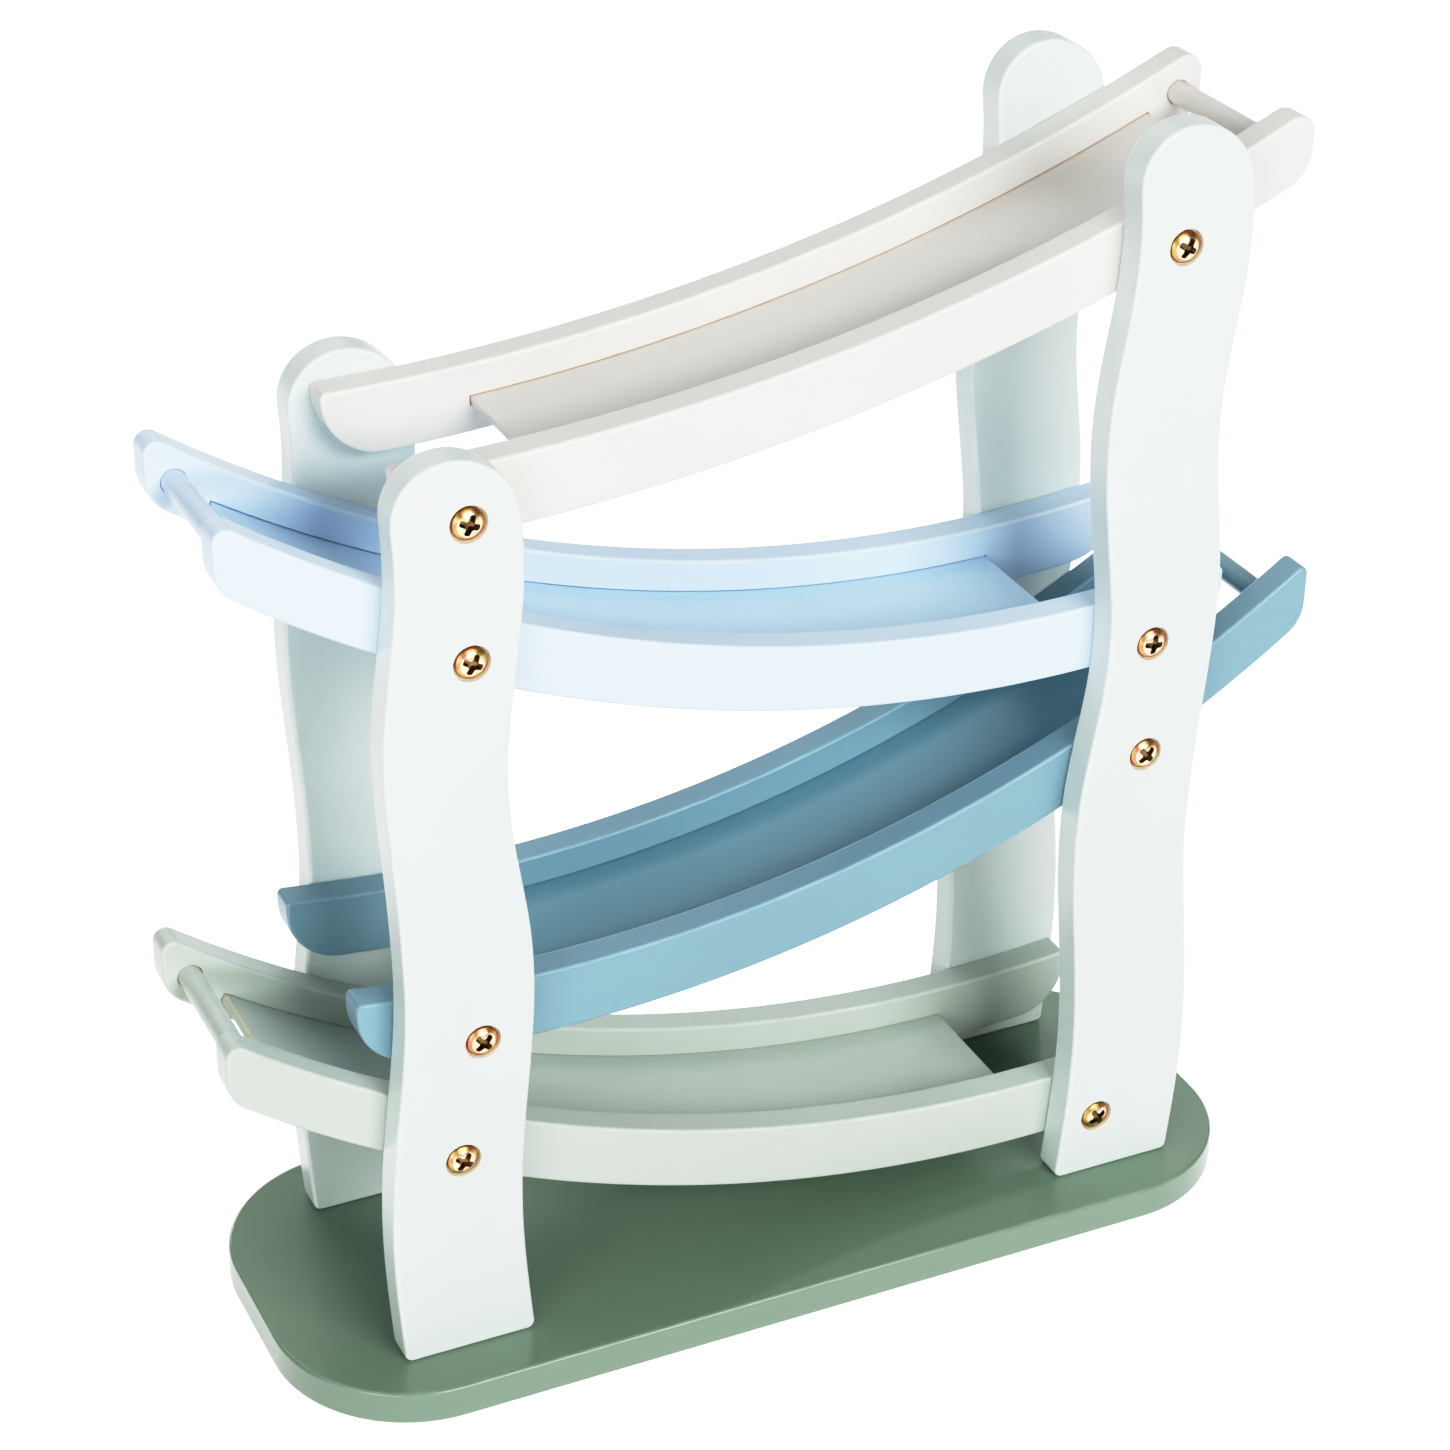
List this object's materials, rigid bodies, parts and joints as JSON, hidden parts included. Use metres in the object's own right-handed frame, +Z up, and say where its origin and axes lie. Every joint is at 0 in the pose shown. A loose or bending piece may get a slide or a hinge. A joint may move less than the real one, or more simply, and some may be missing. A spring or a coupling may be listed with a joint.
{
  "type": "toy car track",
  "caption": "Cascade car track: curved wooden ramps zigzag between wavy posts on a rounded base, and a toy car that rolls down one ramp drops through its open low end onto the next.",
  "frame": {"origin": "centre of the base board's underside", "axes": "+X along the ramps towards the taller posts, +Y to the back, +Z up"},
  "size_m": [0.2879, 0.103, 0.2986],
  "materials": {
    "base": "satin dark sage paint",
    "posts": "satin pale mint paint",
    "top_ramp": "satin off-white paint",
    "upper_ramp": "satin light blue paint",
    "lower_ramp": "satin dusty blue paint",
    "bottom_ramp": "satin pale sage paint",
    "rail_screws": "yellow zinc plate",
    "foot_screws": "bright zinc plate"
  },
  "bodies": {
    "root": {"base_plate": "base", "front_left_post": "posts", "front_right_post": "posts", "back_left_post": "posts", "back_right_post": "posts", "top_front_rail": "top_ramp", "top_back_rail": "top_ramp", "top_floor": "top_ramp", "top_dowel": "top_ramp", "upper_front_rail": "upper_ramp", "upper_back_rail": "upper_ramp", "upper_floor": "upper_ramp", "upper_dowel": "upper_ramp", "lower_front_rail": "lower_ramp", "lower_back_rail": "lower_ramp", "lower_floor": "lower_ramp", "lower_dowel": "lower_ramp", "bottom_front_rail": "bottom_ramp", "bottom_back_rail": "bottom_ramp", "bottom_floor": "bottom_ramp", "bottom_dowel": "bottom_ramp", "rail_screws": "rail_screws", "foot_screws": "foot_screws"}
  },
  "joints": []
}
